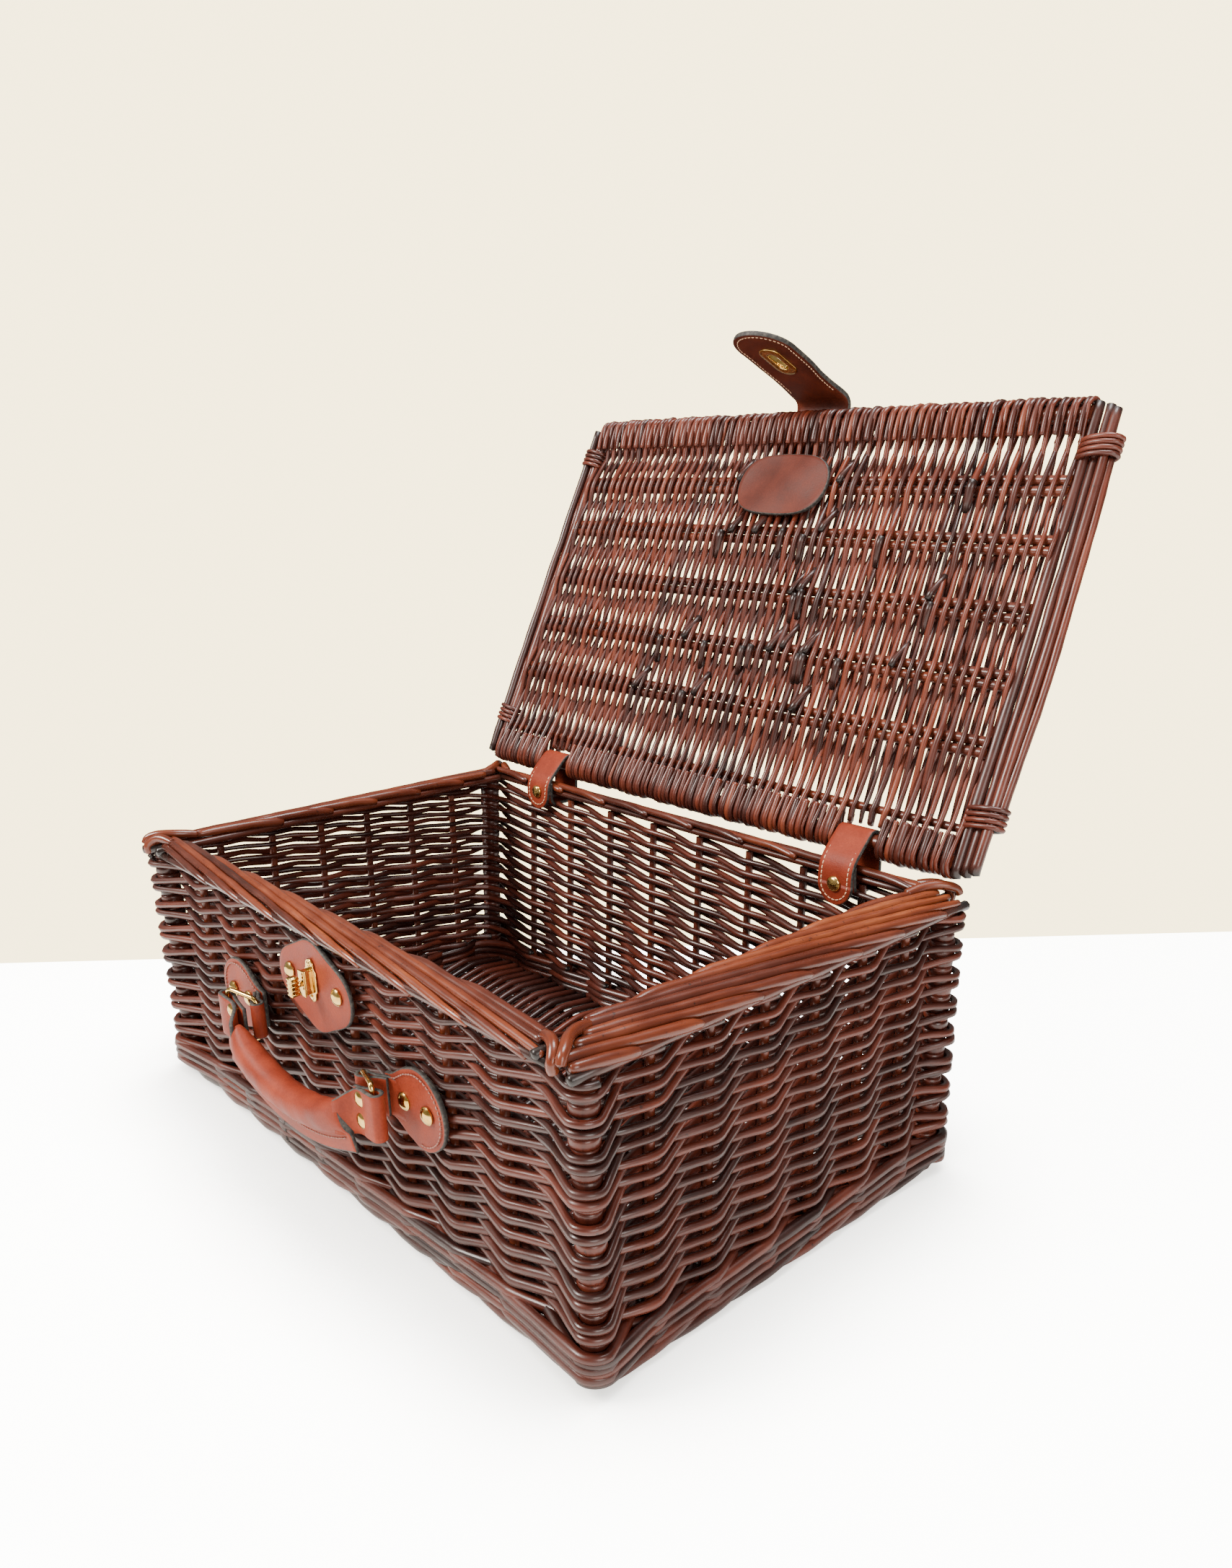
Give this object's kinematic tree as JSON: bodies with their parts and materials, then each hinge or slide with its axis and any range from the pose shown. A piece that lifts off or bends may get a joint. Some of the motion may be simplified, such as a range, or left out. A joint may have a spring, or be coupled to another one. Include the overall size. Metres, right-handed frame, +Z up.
{
  "type": "wicker hamper basket",
  "caption": "Rectangular woven willow hamper basket with a hinged woven lid, leather straps, a turn-knob strap latch and a leather carrying handle on the front.",
  "frame": {"origin": "centre of the basket's underside, on the surface it stands on", "axes": "+Z up, -Y towards the front wall with the latch and the carrying handle, +X to the right seen from the front"},
  "size_m": [0.4622, 0.457, 0.488],
  "materials": {
    "willow": "stained willow, satin varnish",
    "willow_rim": "stained willow, lighter on the rim, satin varnish",
    "leather": "smooth, slightly shiny",
    "brass": "polished",
    "core_cord": "hidden filler of the grip"
  },
  "bodies": {
    "basket": {"base_panel": "willow", "base_sticks": "willow", "foot_border": "willow", "wall_front": "willow", "wall_back": "willow", "wall_left": "willow", "wall_right": "willow", "corner_pole_fl": "willow", "corner_pole_fr": "willow", "corner_pole_bl": "willow", "corner_pole_br": "willow", "stakes_front": "willow", "stakes_back": "willow", "stakes_left": "willow", "stakes_right": "willow", "rim_front": "willow_rim", "rim_back": "willow_rim", "rim_left": "willow_rim", "rim_right": "willow_rim", "hinge_strap_left": "leather", "hinge_strap_right": "leather", "hinge_rivets": "brass", "latch_plate": "leather", "latch_base": "brass", "latch_rivets": "brass", "handle_mount_left": "leather", "handle_mount_right": "leather", "mount_rivets_left": "brass", "mount_rivets_right": "brass"},
    "latch_knob": {"latch_knob": "brass"},
    "lid": {"lid_panel": "willow", "lid_front_rod": "willow_rim", "lid_hinge_rod": "willow", "lid_hinge_stick": "willow", "lid_stick_pair_1": "willow", "lid_stick_pair_2": "willow", "lid_stick_pair_3": "willow", "lid_stick_pair_4": "willow", "lid_stick_pair_5": "willow", "lid_side_rods_left": "willow", "lid_side_rods_right": "willow", "lid_bindings": "willow", "clasp_patch": "leather", "clasp_rivets": "brass", "clasp_base": "leather"},
    "clasp": {"clasp_strap": "leather", "clasp_eyelet": "brass"},
    "hangers": {"mount_loop_left": "leather", "ring_left": "brass", "tab_loop_left": "leather", "mount_loop_right": "leather", "ring_right": "brass", "tab_loop_right": "leather"},
    "handle": {"handle_tab_left": "leather", "handle_tab_right": "leather", "tab_rivets_left": "brass", "tab_rivets_right": "brass", "handle_grip": "leather", "handle_core": "core_cord"}
  },
  "joints": [
    {"name": "lid_hinge", "type": "hinge", "parent": "basket", "child": "lid", "pos_m": [0, 0.1465, 0.183], "axis": [1, 0, 0], "range_deg": [0, 116]},
    {"name": "clasp_bend", "type": "hinge", "parent": "lid", "child": "clasp", "pos_m": [0, 0.28252, 0.43725], "axis": [-1, 0, 0], "range_deg": [0, 80]},
    {"name": "knob_turn", "type": "hinge", "parent": "basket", "child": "latch_knob", "pos_m": [0, -0.15421, 0.1345], "axis": [0, -0.9993, -0.0387], "range_deg": [0, 90]},
    {"name": "ring_swing", "type": "hinge", "parent": "basket", "child": "hangers", "pos_m": [0, -0.15013, 0.09359], "axis": [-1, 0, 0], "range_deg": [0, 30]},
    {"name": "handle_swing", "type": "hinge", "parent": "hangers", "child": "handle", "pos_m": [0, -0.15762, 0.0933], "axis": [-1, 0, 0], "range_deg": [0, 45]}
  ],
  "couplings": [
    {"joint": "handle_swing", "follows": "ring_swing", "ratio": 1.5}
  ]
}
